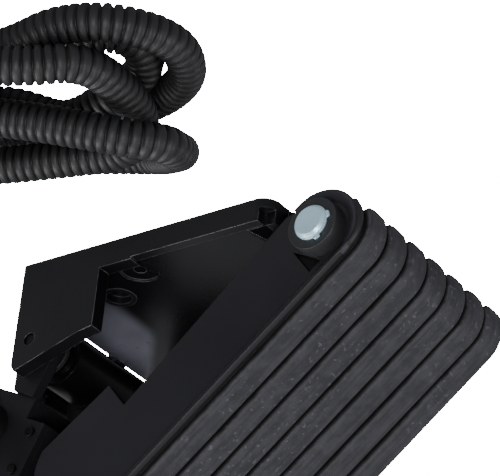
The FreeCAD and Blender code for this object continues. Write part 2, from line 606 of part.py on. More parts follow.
# The hank's line: along, across and height of each point, then its heading in the floor and its slope.
HANK = [
    (79.1, -138.74, 19.25, 174.6, 0),
    (65.71, -132.81, 22.18, 166.4, 0.2),
    (49.27, -131.86, 20.78, 160.2, -1.6),
    (39.87, -119.08, 18.92, 110, -0.6),
    (39.19, -100.58, 17.43, 84.2, -0.9),
    (54.37, -84.45, 18.16, -1.7, 0.4),
    (96.19, -84.94, 18.08, -5.5, -0.1),
    (120.07, -109.29, 17.55, -95.4, 0),
    (98.17, -128.3, 16.25, 176.6, -12),
    (69.74, -126.24, 11.01, 191, -2.5),
    (45.4, -131.86, 9.28, 174, 0.7),
    (25.2, -109, 6.88, 84.5, -3.8),
    (41.1, -87.52, 5.12, 28, 0),
    (61.26, -80.33, 5.34, 7.6, 0),
    (96.66, -80.94, 5.2, -5.6, 0),
    (118.94, -100.15, 5.2, -95.4, 0),
    (95.42, -114.98, 5.21, 174.6, 0),
    (70.85, -115.03, 5.47, 183.3, -0.1),
    (46.32, -121.24, 5.36, 172.3, 0.1),
    (36.42, -110, 5.15, 89.2, -0.1),
    (45.07, -97.92, 5.47, 31.3, 0.1),
    (61.96, -91.18, 9.76, 10.3, 0.1),
    (77.11, -93.11, 6.23, -5.2, 2.5),
    (95.29, -105.81, 14.81, -95.4, 22),
    (74.32, -115.08, 23.75, 172.6, 5),
    (48.43, -112.71, 27.86, 170.6, 7.1),
    (37.33, -110.76, 30.81, 160.3, 0),
    (29.76, -100.45, 27.98, 89.5, -14),
    (36.79, -79.02, 16.12, 53.8, -28.2),
    (55.91, -64.48, 5.77, -0.9, -3.3),
    (117, -66, 5.2, 0, 0),
]
# Corners of the stretch from the gland down to the hank: along, across and height.
TAIL = [
    (149.2, -48.6, 46.1), (158.2, -77, 39.3), (154.6, -106.3, 31.2), (137.9, -130.8, 23.6),
    (109.6, -141.6, 19.2),
]


def laid(point):
    """Point of the floor frame from its along, across and height values in the hank."""
    angle = math.radians(HANK_TURN)
    along, across, high = point
    return HANK_START + Vector(along * math.cos(angle) + across * math.sin(angle),
                               across * math.cos(angle) - along * math.sin(angle), high)


def bow(start, heading, end):
    """Arc that leaves start along heading and stops at end, with its last heading."""
    chord = end - start
    along = Vector(chord).normalize()
    aside = heading - along * heading.dot(along)
    last = along * (2 * heading.dot(along)) - heading
    if aside.Length < 1e-7:
        return Part.LineSegment(start, end).toShape(), last
    half = math.acos(max(-1.0, min(1.0, heading.dot(along))))
    middle = (start + end) / 2 + aside.normalize() * (chord.Length / 2 * math.tan(half / 2))
    return Part.Arc(start, middle, end).toShape(), last


def joined(stations):
    """Edges through points with headings: a straight line or two tangent arcs between each pair."""
    edges = []
    for (start, heading), (end, last) in zip(stations, stations[1:]):
        way = end - start
        if way.cross(heading).Length < 1e-6 and heading.cross(last).Length < 1e-6:
            edges.append(Part.LineSegment(start, end).toShape())
            continue
        both, spread = heading + last, 2 * (1 - heading.dot(last))
        if spread < 1e-9:
            reach = way.dot(way) / (4 * way.dot(last))
        else:
            reach = (math.sqrt(way.dot(both) ** 2 + spread * way.dot(way)) - way.dot(both)) / spread
        meet = (start + end + (heading - last) * reach) / 2
        first, middle_heading = bow(start, heading, meet)
        second, _ = bow(meet, middle_heading, end)
        edges += [first, second]
    return edges


def piped(edges, radius, start, heading):
    """Round solid along tangent edges."""
    ring = Part.Wire(Part.makeCircle(radius, start, heading))
    return Part.Wire(edges).makePipeShell([ring], True, False)


def solid_piece(name, shape):
    """Piece whose shape is worked out from a route."""
    item = doc.addObject("Part::Feature", name)
    item.Label = name
    item.Shape = shape
    return item


def hank_stations():
    """Points and headings of the conduit's loops."""
    stations = []
    for along, across, high, heading, slope in HANK:
        way, rise = math.radians(heading - HANK_TURN), math.radians(slope)
        ahead = Vector(math.cos(way) * math.cos(rise), math.sin(way) * math.cos(rise), math.sin(rise))
        stations.append((laid((along, across, high)), ahead))
    return stations


def least_gap(edges, radius):
    """Least gap between two parts of one tube, on points about two millimetres apart."""
    points, way = [], 0.0
    for edge in edges:
        steps = max(2, int(edge.Length / 2))
        points += [(point, way + edge.Length * n / steps)
                   for n, point in enumerate(edge.discretize(Number=steps + 1)[:-1])]
        way += edge.Length
    return min((a - b).Length - 2 * radius for n, (a, s) in enumerate(points)
               for b, t in points[n + 1:] if t - s > 8 * radius)


def conduit_coil():
    """The loops of conduit that lie beside the pedal."""
    stations = hank_stations()
    edges = joined(stations)
    radius = size("conduit_radius")
    print("coil length", round(sum(edge.Length for edge in edges), 1),
          "least gap", round(least_gap(edges, radius), 2))
    return solid_piece("conduit_coil", piped(edges, radius, *stations[0]))


def gland_mouth():
    """Where the conduit starts inside the gland, in the floor frame."""
    tilt = math.radians(size("housing_tilt"))
    x, z = size("gland_x"), size("gland_z")
    return Vector(size("lever_x") + x * math.cos(tilt) + z * math.sin(tilt),
                  size("housing_near + gland_seat - gland_long - gland_nut_long"),
                  size("lever_z") - x * math.sin(tilt) + z * math.cos(tilt))


def conduit_tail():
    """The stretch of conduit from the gland to the first loop: straight runs joined by arcs."""
    start = gland_mouth()
    points = [start, start - Vector(0, size("tail_lead"), 0)]
    points += [laid(point) for point in TAIL + [HANK[0][:3]]]
    edges, at, radii = [], points[0], []
    for before, corner, after in zip(points, points[1:], points[2:]):
        first, second = (corner - before), (after - corner)
        shorter = min(first.Length, second.Length)
        half = first.getAngle(second) / 2
        enter = corner - Vector(first).normalize() * (0.45 * shorter)
        leave = corner + Vector(second).normalize() * (0.45 * shorter)
        radii.append(round(0.45 * shorter / math.tan(half), 1))
        edges.append(Part.LineSegment(at, enter).toShape())
        edges.append(bow(enter, Vector(first).normalize(), leave)[0])
        at = leave
    edges.append(Part.LineSegment(at, points[-1]).toShape())
    radius = size("conduit_radius")
    print("tail length", round(sum(edge.Length for edge in edges), 1), "radii", radii)
    return solid_piece("conduit_tail", piped(edges, radius, start, Vector(0, -1, 0)))


def plug_frame(item):
    """Stand a piece of the plug at the end of the conduit, along its way."""
    end = laid(HANK[-1][:3])
    item.Placement = Placement(Vector(end.x, end.y, 0), Rotation(Vector(0, 0, 1), -HANK_TURN))
    return item


def connector_boot():
    """Sleeve on the conduit behind the plug."""
    body = new_body("connector_boot")
    block = box_outline(sketch_on(body, "YZ_Plane"), "-boot_half", "boot_half", "0", "plug_high")
    extrude(body, block, "boot_long")
    return plug_frame(body)


def connector_body():
    """Rectangular plug with an open socket at its end."""
    body = new_body("connector_body")
    block = box_outline(sketch_on(body, "YZ_Plane", "boot_long"), "-plug_half", "plug_half", "0", "plug_high")
    extrude(body, block, "plug_long")
    socket = box_outline(sketch_on(body, "YZ_Plane", "boot_long + plug_long"), "plug_wall - plug_half",
                         "plug_half - plug_wall", "plug_wall", "plug_high - plug_wall")
    extrude(body, socket, "plug_deep", kind="Pocket")
    return plug_frame(body)


def connector_latch():
    """Spring latch on top of the plug."""
    body = new_body("connector_latch")
    block = box_outline(sketch_on(body, "XY_Plane", "plug_high"), "boot_long + latch_back",
                        "boot_long + latch_back + latch_long", "-latch_half", "latch_half")
    extrude(body, block, "latch_high")
    return plug_frame(body)


def connector_pins():
    """Terminals that stand in the socket."""
    body = new_body("connector_pins")
    body.AllowCompound = True
    ends = sketch_on(body, "YZ_Plane", "boot_long + plug_long - plug_deep")
    for n in range(3):
        circle(ends, f"({n} - 1) * terminal_pitch", "plug_high / 2", "terminal_radius")
    extrude(body, ends, "plug_deep - terminal_short")
    return plug_frame(body)


def hub_washer(name, side):
    """Thick black washer between the treadle wall and the clip."""
    body = tube(name, "hub_radius", "shaft_radius", "wall_face", "wall_face + hub_long")
    return place(body, "hinge_x", "0", "hinge_z", "0" if side > 0 else "180", Vector(0, 0, 1))


def shaft_clip(name, side):
    """Open clip in the shaft's groove."""
    body = new_body(name)
    start = "wall_face + hub_long"
    ring = circle(sketch_on(body, "XZ_Plane", f"-({start})"), "0", "0", "clip_radius")
    circle(ring, "0", "0", "shaft_radius - clip_groove")
    extrude(body, ring, "clip_thick", backwards=True)
    mouth = box_outline(sketch_on(body, "XZ_Plane", f"-({start})"), "-shaft_radius + clip_groove",
                        "shaft_radius - clip_groove", "-2 * clip_radius", "0")
    extrude(body, mouth, "clip_thick", kind="Pocket")
    return place(body, "hinge_x", "0", "hinge_z", "0" if side > 0 else "180", Vector(0, 0, 1))


def pivot_shaft():
    """Zinc-plated hinge shaft with bevelled ends and a clip groove at each end."""
    body = rod("pivot_shaft", "shaft_radius", "-shaft_half", "shaft_half", "shaft_bevel")
    for sign in ("-", ""):
        ring = circle(sketch_on(body, "XZ_Plane", f"{sign}(wall_face + hub_long + clip_thick / 2)"), "0", "0",
                      "2 * shaft_radius")
        circle(ring, "0", "0", "shaft_radius - clip_groove")
        extrude(body, ring, "clip_thick", kind="Pocket", midplane=True)
    return place(body, "hinge_x", "0", "hinge_z", "-rest_angle")


def roller():
    """Roller that follows the cam rib."""
    body = tube("roller", "roller_radius", "pin_radius + running_gap", "-roller_half", "roller_half")
    return place(body, "lever_x", "0", "lever_z + arm_long")


def roller_pin():
    """Pin of the roller, pressed into the fork."""
    body = rod("roller_pin", "pin_radius", "-arm_half", "arm_half")
    return place(body, "lever_x", "0", "lever_z + arm_long")


pieces = [
    base_frame(), hinge_bush("hinge_bush_near", -1), hinge_bush("hinge_bush_far", 1), rivet_nut(),
    neck(), sensor_housing(), sensor_cover(), sensor_board(), cover_screws(),
    cable_gland(), gland_nut(), conduit_tail(), conduit_coil(), connector_boot(), connector_body(),
    connector_latch(), connector_pins(),
    torsion_spring(),
    treadle_body(), tread_pad(), pivot_shaft(), hub_washer("hub_washer_near", -1),
    hub_washer("hub_washer_far", 1), shaft_clip("shaft_clip_near", -1), shaft_clip("shaft_clip_far", 1),
    lever_shaft(), lever_arm(), arm_screw(), magnet_ring(), roller_pin(), roller(),
]
doc.recompute()
for item in doc.Objects:
    if "Invalid" in item.State or "Error" in item.State:
        raise RuntimeError(f"{item.Label}: {item.State}")
for piece in pieces:
    if piece.Shape.isNull() or not piece.Shape.isValid():
        raise RuntimeError(f"{piece.Label}: bad shape")
os.makedirs("parts", exist_ok=True)
for piece in pieces:
    box = piece.Shape.BoundBox
    print(f"{piece.Label}: {len(piece.Shape.Solids)} solids, {piece.Shape.Volume:.0f} mm3, "
          f"x {box.XMin:.1f} {box.XMax:.1f}, y {box.YMin:.1f} {box.YMax:.1f}, z {box.ZMin:.1f} {box.ZMax:.1f}")
    piece.Shape.exportStep(f"parts/{piece.Label}.step")
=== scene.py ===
"""Looks of a floor foot pedal with a ribbed treadle and a hank of corrugated conduit.

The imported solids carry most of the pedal. This script dresses them, bends the ribbed tread and its
rims round the heel, adds the clips and the rail's edging, lays the conduit with its corrugations, and
sets the photograph's camera and a plain white studio.
"""
import logging
import math
from dataclasses import dataclass, field
from enum import Enum
from typing import Any, Sequence

import bmesh
import bpy
import numpy as np
from mathutils import Matrix, Vector


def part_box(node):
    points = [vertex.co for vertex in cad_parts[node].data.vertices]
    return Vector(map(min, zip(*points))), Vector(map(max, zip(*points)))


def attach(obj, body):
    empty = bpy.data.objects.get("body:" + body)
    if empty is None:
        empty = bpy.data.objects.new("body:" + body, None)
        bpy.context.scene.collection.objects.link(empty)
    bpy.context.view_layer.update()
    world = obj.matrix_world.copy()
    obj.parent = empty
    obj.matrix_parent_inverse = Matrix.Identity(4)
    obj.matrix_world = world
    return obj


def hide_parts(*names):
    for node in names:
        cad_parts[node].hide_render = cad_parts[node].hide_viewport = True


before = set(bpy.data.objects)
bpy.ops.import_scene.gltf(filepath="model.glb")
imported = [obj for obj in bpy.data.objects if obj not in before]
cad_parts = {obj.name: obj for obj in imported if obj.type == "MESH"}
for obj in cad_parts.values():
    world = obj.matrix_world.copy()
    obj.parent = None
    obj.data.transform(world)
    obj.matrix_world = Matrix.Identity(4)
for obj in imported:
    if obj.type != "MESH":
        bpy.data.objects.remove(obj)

LOG = logging.getLogger("pedal")
MM = 0.001
Pair = tuple[float, float]
Triple = tuple[float, float, float]
Colour = tuple[float, float, float, float]


class Side(Enum):
    """Side of the pedal, as the sign of Y."""

    NEAR = -1
    FAR = 1


class Wire:
    """A shader socket that can stand in a Python expression."""

    def __init__(self, graph: "Graph", socket: bpy.types.NodeSocket) -> None:
        """Keep the graph and the socket."""
        self.graph = graph
        self.socket = socket

    def _math(self, operation: str, first: Any, second: Any = 0.0) -> "Wire":
        """Add one Math node.

        Args:
            operation: The Math node's operation.
            first: Its first value or wire.
            second: Its second value or wire.

        Returns:
            The node's result.
        """
        return self.graph.node("ShaderNodeMath", {"operation": operation}, {0: first, 1: second})

    def __add__(self, other: Any) -> "Wire":
        """Sum of the two."""
        return self._math("ADD", self, other)

    __radd__ = __add__

    def __sub__(self, other: Any) -> "Wire":
        """This less the other."""
        return self._math("SUBTRACT", self, other)

    def __rsub__(self, other: Any) -> "Wire":
        """The other less this."""
        return self._math("SUBTRACT", other, self)

    def __mul__(self, other: Any) -> "Wire":
        """Product of the two."""
        return self._math("MULTIPLY", self, other)

    __rmul__ = __mul__

    def __truediv__(self, other: Any) -> "Wire":
        """This divided by the other."""
        return self._math("DIVIDE", self, other)

    def __mod__(self, other: Any) -> "Wire":
        """What is left of this after whole copies of the other."""
        return self._math("FLOORED_MODULO", self, other)

    def __gt__(self, other: Any) -> "Wire":
        """One where this is greater, else zero."""
        return self._math("GREATER_THAN", self, other)

    def size(self) -> "Wire":
        """Absolute value."""
        return self._math("ABSOLUTE", self)

    def ramp(self, low: float, high: float) -> "Wire":
        """Smooth rise from zero at low to one at high."""
        return self.graph.node(
            "ShaderNodeMapRange", {"interpolation_type": "SMOOTHSTEP"}, {0: self, 1: low, 2: high})


class Graph:
    """Node tree of one material."""

    def __init__(self, name: str) -> None:
        """Start an empty material."""
        self.material = bpy.data.materials.new(name)
        self.material.use_nodes = True
        self.tree = self.material.node_tree
        self.tree.nodes.clear()
        self.output = self.tree.nodes.new("ShaderNodeOutputMaterial")

    def node(self, kind: str, settings: dict[str, Any], inputs: dict[Any, Any], out: Any = 0) -> Wire:
        """Add a node.

        Args:
            kind: The node's type.
            settings: Properties of the node, set first.
            inputs: Values or wires by socket name or number.
            out: Name or number of the output that is returned.

        Returns:
            The chosen output.
        """
        made = self.tree.nodes.new(kind)
        for name, value in settings.items():
            setattr(made, name, value)
        for key, value in inputs.items():
            if isinstance(value, Wire):
                self.tree.links.new(value.socket, made.inputs[key])
            else:
                made.inputs[key].default_value = value
        return Wire(self, made.outputs[out])

    def place(self) -> Wire:
        """Object coordinates, in metres."""
        return self.node("ShaderNodeTexCoord", {}, {}, "Object")

    def axis(self, vector: Wire, number: int) -> Wire:
        """One part of a vector."""
        return self.node("ShaderNodeSeparateXYZ", {}, {0: vector}, number)

    def noise(self, scale: float, detail: float = 2.0, vector: Any = None, rough: float = 0.5) -> Wire:
        """Noise between zero and one; the scale is in copies per metre."""
        inputs = {"Vector": vector or self.place(), "Scale": scale, "Detail": detail, "Roughness": rough}
        return self.node("ShaderNodeTexNoise", {}, inputs, "Fac")

    def stretched(self, along: Sequence[float], turn: Sequence[float] = (0, 0, 0)) -> Wire:
        """Object coordinates turned and stretched, for streaks."""
        return self.node("ShaderNodeMapping", {}, {"Vector": self.place(), "Rotation": tuple(turn),
                                                   "Scale": tuple(along)})

    def mix(self, amount: Any, first: Any, second: Any) -> Wire:
        """Blend of two colours."""
        return self.node("ShaderNodeMix", {"data_type": "RGBA"}, {0: amount, 6: first, 7: second}, 2)

    def bump(self, height: Any, distance: float, strength: float = 1.0, normal: Any = None) -> Wire:
        """Normal from a height; distance is the depth of a height of one, in metres."""
        inputs = {"Height": height, "Distance": distance, "Strength": strength}
        if normal is not None:
            inputs["Normal"] = normal
        return self.node("ShaderNodeBump", {}, inputs)

    def rounded(self, radius: float) -> Wire:
        """Normal that rounds sharp edges by a radius."""
        return self.node("ShaderNodeBevel", {"samples": 6}, {"Radius": radius})

    def arris(self, radius: float, low: float = 0.02, high: float = 0.12) -> Wire:
        """Mask of the sharp edges, from zero on the flats to one along an edge."""
        face = self.node("ShaderNodeNewGeometry", {}, {}, "Normal")
        same = self.node("ShaderNodeVectorMath", {"operation": "DOT_PRODUCT"},
                         {0: self.rounded(radius), 1: face}, "Value")
        return (1.0 - same).ramp(low, high)

    def surface(self, **inputs: Any) -> bpy.types.Material:
        """Close the material with a principled surface.

        Args:
            inputs: Socket values by name, with underscores for spaces.

        Returns:
            The finished material.
        """
        sockets = {name.replace("_", " "): value for name, value in inputs.items()}
        shader = self.node("ShaderNodeBsdfPrincipled", {}, sockets)
        self.tree.links.new(shader.socket, self.output.inputs["Surface"])
        return self.material


class Growth:
    """Geometry node tree with named inputs that ends in real, painted geometry."""

    def __init__(self, name: str, inputs: dict[str, str]) -> None:
        """Start the tree.

        Args:
            name: Its name.
            inputs: Kind of each named input, such as Float or Int.
        """
        self.tree = bpy.data.node_groups.new(name, "GeometryNodeTree")
        face = self.tree.interface
        face.new_socket("Geometry", in_out="INPUT", socket_type="NodeSocketGeometry")
        face.new_socket("Geometry", in_out="OUTPUT", socket_type="NodeSocketGeometry")
        self.keys = {
            label: face.new_socket(label, in_out="INPUT", socket_type=f"NodeSocket{kind}").identifier
            for label, kind in inputs.items()}
        self.start = self.tree.nodes.new("NodeGroupInput")
        self.shape = self.start.outputs[0]

    def entry(self, label: str) -> bpy.types.NodeSocket:
        """The socket of a named input."""
        return self.start.outputs[label]

    def node(self, kind: str, settings: dict[str, Any], inputs: dict[Any, Any],
             out: Any = 0) -> bpy.types.NodeSocket:
        """Add a node.

        Args:
            kind: The node's type.
            settings: Properties of the node, set first.
            inputs: Values or sockets by socket name or number.
            out: Name or number of the output that is returned.

        Returns:
            The chosen output.
        """
        made = self.tree.nodes.new(kind)
        for name, value in settings.items():
            setattr(made, name, value)
        for key, value in inputs.items():
            if isinstance(value, bpy.types.NodeSocket):
                self.tree.links.new(value, made.inputs[key])
            else:
                made.inputs[key].default_value = value
        return made.outputs[out]

    def math(self, operation: str, first: Any, second: Any = 0.0, third: Any = 0.0) -> bpy.types.NodeSocket:
        """Add one Math node."""
        return self.node("ShaderNodeMath", {"operation": operation}, {0: first, 1: second, 2: third})

    def grow(self, name: str, data: Any, shape: bpy.types.NodeSocket, material: bpy.types.Material,
             values: dict[str, Any]) -> bpy.types.Object:
        """Close the tree and turn its result into a plain mesh object.

        Args:
            name: Name of the piece.
            data: Mesh or curve that the tree starts from.
            shape: Last geometry of the tree.
            material: Material of the whole piece.
            values: Value of each named input.

        Returns:
            The piece, with no modifier.
        """
        real = self.node("GeometryNodeRealizeInstances", {}, {0: shape})
        paint = self.node("GeometryNodeSetMaterial", {}, {"Geometry": real, "Material": material})
        self.tree.links.new(paint, self.tree.nodes.new("NodeGroupOutput").inputs[0])
        source = bpy.data.objects.new(f"{name}_source", data)
        bpy.context.scene.collection.objects.link(source)
        modifier = source.modifiers.new("growth", "NODES")
        modifier.node_group = self.tree
        for label, value in values.items():
            modifier[self.keys[label]] = value
        bpy.context.view_layer.update()
        mesh = bpy.data.meshes.new_from_object(source.evaluated_get(bpy.context.evaluated_depsgraph_get()))
        mesh.name = name
        made = bpy.data.objects.new(name, mesh)
        bpy.context.scene.collection.objects.link(made)
        bpy.data.objects.remove(source)
        return made


def grey(value: float, blue: float = 1.0) -> Colour:
    """A grey, with its blue part scaled."""
    return (value, value, value * blue, 1.0)


@dataclass(frozen=True)
class Coating:
    """A black coating or moulding with a faint texture; its noises are in copies per metre."""

    name: str
    shade: float = 0.006
    blue: float = 1.1
    darkest: float = 0.85
    lightest: float = 1.2
    rough: float = 0.3
    rough_spread: float = 0.08
    shine: float = 0.3
    clouds: float = 60.0
    grain: float = 900.0
    grain_depth: float = 0.000012
    edge: float = 0.0004
    # Tone of the lighter edges, wear and a painted edge highlight together; zero leaves them out.
    edge_wear_and_highlight: float = 0.0
    edge_wear_and_highlight_breaks: float = 140.0

    def tint(self, g: Graph, cloud: Wire) -> Wire:
        """Colour of the finish before its lighter edges, which are wear and a painted edge highlight."""
        dark, light = (grey(self.shade * part, self.blue) for part in (self.darkest, self.lightest))
        return g.mix(cloud, dark, light)

    def material(self) -> bpy.types.Material:
        """Build the material."""
        g = Graph(self.name)
        cloud = g.noise(self.clouds, 3.0)
        grain = g.noise(self.grain, 2.0)
        colour = self.tint(g, cloud)
        if self.edge_wear_and_highlight:
            # Lighter arrises: partly edge wear, partly a painted highlight along the edges.
            edge_wear_and_highlight_mask = g.arris(self.edge) * g.noise(self.edge_wear_and_highlight_breaks, 3.0).ramp(0.3, 0.6)
            colour = g.mix(edge_wear_and_highlight_mask, colour, grey(self.edge_wear_and_highlight, 1.1))
        normal = g.bump(grain, self.grain_depth, 1.0, g.rounded(self.edge))
        return g.surface(Base_Color=colour, Roughness=cloud * self.rough_spread + self.rough,
                         Specular_IOR_Level=self.shine, Normal=normal)


@dataclass(frozen=True)
class BasePaint(Coating):
    """Black paint with a painted reflection, a lighter sheen patch, on the plate beside the toe slit; places
    are in metres.
    """

    # Tone of the painted reflection on the plate near the toe slit.
    patch: float = 0.22
    sheen_heel: float = 0.0195
    heel_fade: Pair = (-0.0035, 0.003)
    corner: Pair = (0.021, 0.011)
    slope: float = 0.85
    side_fade: Pair = (-0.003, 0.003)
    plate_top: float = 0.0036
    plate_low: float = 0.0029
    inside: float = -0.034

    def tint(self, g: Graph, cloud: Wire) -> Wire:
        """Colour of the paint, lightened on the patch by the painted reflection."""
        plain = super().tint(g, cloud)
        along, across, high = (g.axis(g.place(), part) for part in range(3))
        heel = (along - self.sheen_heel).ramp(*self.heel_fade)
        side = (along - self.corner[0] - (across - self.corner[1]) * self.slope).ramp(*self.side_fade)
        plate = (1.0 - (high > self.plate_top)) * (high > self.plate_low) * (across > self.inside)
        uneven = g.noise(90.0, 2.0).ramp(0.2, 0.8) * 0.25 + 0.75
        # Painted reflection: the plate's top beyond the heel line and the slanted side line is lightened, a
        # little unevenly.
        return g.mix(heel * side * plate * uneven, plain, grey(self.patch, 1.25))


@dataclass(frozen=True)
class TreadleMoulding(Coating):
    """Black moulding with painted shade, nearly black, in the recesses of its side walls."""

    face: float = 0.0343
    face_fade: float = 0.0002
    # Tone of the painted shade in the side-wall recesses.
    recess_painted_shade: float = 0.0008

    def tint(self, g: Graph, cloud: Wire) -> Wire:
        """Colour of the moulding, with painted shade, nearly black, below its outer faces."""
        outer = (g.axis(g.place(), 1).size() - self.face).ramp(0.0, self.face_fade)
        return g.mix(outer, grey(self.recess_painted_shade, self.blue), super().tint(g, cloud))


@dataclass(frozen=True)
class ConduitPlastic:
    """Soft black plastic, mottled on the crests and with painted shade, near black, in the grooves."""

    name: str = "conduit_black"
    # Painted shade: the near-black tone that darkens the grooves.
    groove: Colour = grey(0.0024, 1.1)
    crest_tone: Colour = grey(0.0156, 1.08)
    rough: float = 0.42
    shine: float = 0.35
    grain_depth: float = 0.00003

    def material(self) -> bpy.types.Material:
        """Build the material."""
        g = Graph(self.name)
        crest = g.node("ShaderNodeAttribute", {"attribute_name": "crest"}, {}, "Fac").ramp(0.3, 1.0)
        cloud = g.noise(180.0, 3.0)
        # The grooves take the painted shade; the crests keep the plastic's mottled tone.
        colour = g.mix(crest * (cloud * 0.5 + 0.5), self.groove, self.crest_tone)
        grain = g.noise(1600.0, 2.0)
        return g.surface(Base_Color=colour, Roughness=cloud * 0.15 + self.rough,
                         Specular_IOR_Level=self.shine, Normal=g.bump(grain, self.grain_depth))


@dataclass(frozen=True)
class TreadRubber:
    """Scuffed charcoal rubber, lighter along the rib edges as wear and painted edge highlight, with painted
    shade, near black, in the grooves.
    """

    first: float
    pitch: float
    tilt: float
    name: str = "tread_rubber"
    plain: Colour = grey(0.0182, 1.2)
    chalky: Colour = grey(0.0676, 1.15)
    # Painted shade: the near-black tone of the groove floors.
    groove: Colour = grey(0.003, 1.1)
    rough: float = 0.55
    shine: float = 0.35
    grain_depth: float = 0.00004
    edge_round: float = 0.0003

    def material(self) -> bpy.types.Material:
        """Build the material."""
        g = Graph(self.name)
        across = g.axis(g.place(), 1)
        in_rib = ((across - self.first) % self.pitch) / self.pitch
        edge = ((in_rib - 0.5).size() * 2.0).ramp(0.74, 0.81)
        rib = g.node("ShaderNodeAttribute", {"attribute_name": "rib"}, {}, "Fac").ramp(0.2, 0.9)
        streak = g.noise(1.0, 4.0, g.stretched((60.0, 900.0, 60.0), (0, math.radians(self.tilt), 0)))
        cloud = g.noise(210.0, 6.0, rough=0.72)
        patch = g.noise(22.0, 2.0)
        grain = g.noise(1500.0, 3.0)
        scuff = (streak * 0.4 + cloud * 0.6).ramp(0.4, 0.62)
        nick = g.noise(760.0, 2.0).ramp(0.62, 0.7) * patch.ramp(0.4, 0.56)
        # Rib edges made lighter: partly wear, partly a painted highlight along the edges.
        edge_wear_and_highlight = (edge * g.noise(300.0, 3.0)).ramp(0.3, 0.6) * patch.ramp(0.3, 0.55) * 0.7
        colour = g.mix(scuff * 0.35 + edge_wear_and_highlight + nick * 0.8, self.plain, self.chalky)
        # Painted shade: the groove floors, off the rib mask, turn near black.
        colour = g.mix(rib, self.groove, colour)
        normal = g.bump(grain, self.grain_depth, 1.0, g.rounded(self.edge_round))
        return g.surface(Base_Color=colour, Roughness=scuff * 0.12 + self.rough, Normal=normal,
                         Specular_IOR_Level=self.shine)


def mottled(g: Graph, cloud: Wire, colour: Triple, dark: float = 0.8) -> Wire:
    """A colour that a noise darkens a little."""
    low = tuple(part * dark for part in colour) + (1.0,)
    return g.mix(cloud, low, colour + (1.0,))


@dataclass(frozen=True)
class Metal:
    """Bare or plated metal with faint brushing."""

    name: str
    colour: Triple
    rough: float
    bare: float = 1.0
    brush_depth: float = 0.00001
    edge_round: float = 0.0003

    def material(self) -> bpy.types.Material:
        """Build the material."""
        g = Graph(self.name)
        fine = g.noise(2500.0, 3.0)
        cloud = g.noise(250.0, 3.0)
        return g.surface(Base_Color=mottled(g, cloud, self.colour), Metallic=self.bare,
                         Roughness=cloud * 0.15 + self.rough,
                         Normal=g.bump(fine, self.brush_depth, 1.0, g.rounded(self.edge_round)))


@dataclass(frozen=True)
class Plain:
    """A moulded or printed material of one tone with a faint mottling."""

    name: str
    colour: Triple
    rough: float = 0.5
    mottle_depth: float = 0.00002

    def material(self) -> bpy.types.Material:
        """Build the material."""
        g = Graph(self.name)
        cloud = g.noise(300.0, 3.0)
        return g.surface(Base_Color=mottled(g, cloud, self.colour), Roughness=cloud * 0.1 + self.rough,
                         Normal=g.bump(cloud, self.mottle_depth))


def dress(material: bpy.types.Material, *nodes: str) -> None:
    """Give CAD nodes a material."""
    for name in nodes:
        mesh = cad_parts[name].data
        mesh.materials.clear()
        mesh.materials.append(material)
        LOG.info("%s: %s", name, material.name)


@dataclass
class PhotoCamera:
    """The photograph's camera, with its eye, sensor and lens in millimetres and its sight in metres."""

    eye: Triple = (-512.0, -615.1, 443.1)
    right: Triple = (-0.8102, 0.5790, -0.0912)
    up: Triple = (-0.2297, -0.4568, -0.8594)
    sensor: float = 36.0
    lens: float = 223.2
    sight: Pair = (0.01, 20.0)

    def build(self) -> bpy.types.Object:
        """Make the camera and use it.

        Returns:
            The camera object.
        """
        data = bpy.data.cameras.new("photo_camera")
        data.lens, data.sensor_width = self.lens, self.sensor
        data.clip_start, data.clip_end = self.sight
        camera = bpy.data.objects.new("photo_camera", data)
        bpy.context.scene.collection.objects.link(camera)
        right = Vector(self.right).normalized()
        up = (Vector(self.up) - right * right.dot(Vector(self.up))).normalized()
        turn = Matrix((right, up, right.cross(up))).transposed().to_4x4()
        camera.matrix_world = Matrix.Translation(Vector(self.eye) * MM) @ turn
        bpy.context.scene.camera = camera
        return camera


@dataclass(frozen=True)
class Lamp:
    """Square soft lamp, in metres and watts."""

    place: Triple
    power: float
    width: float


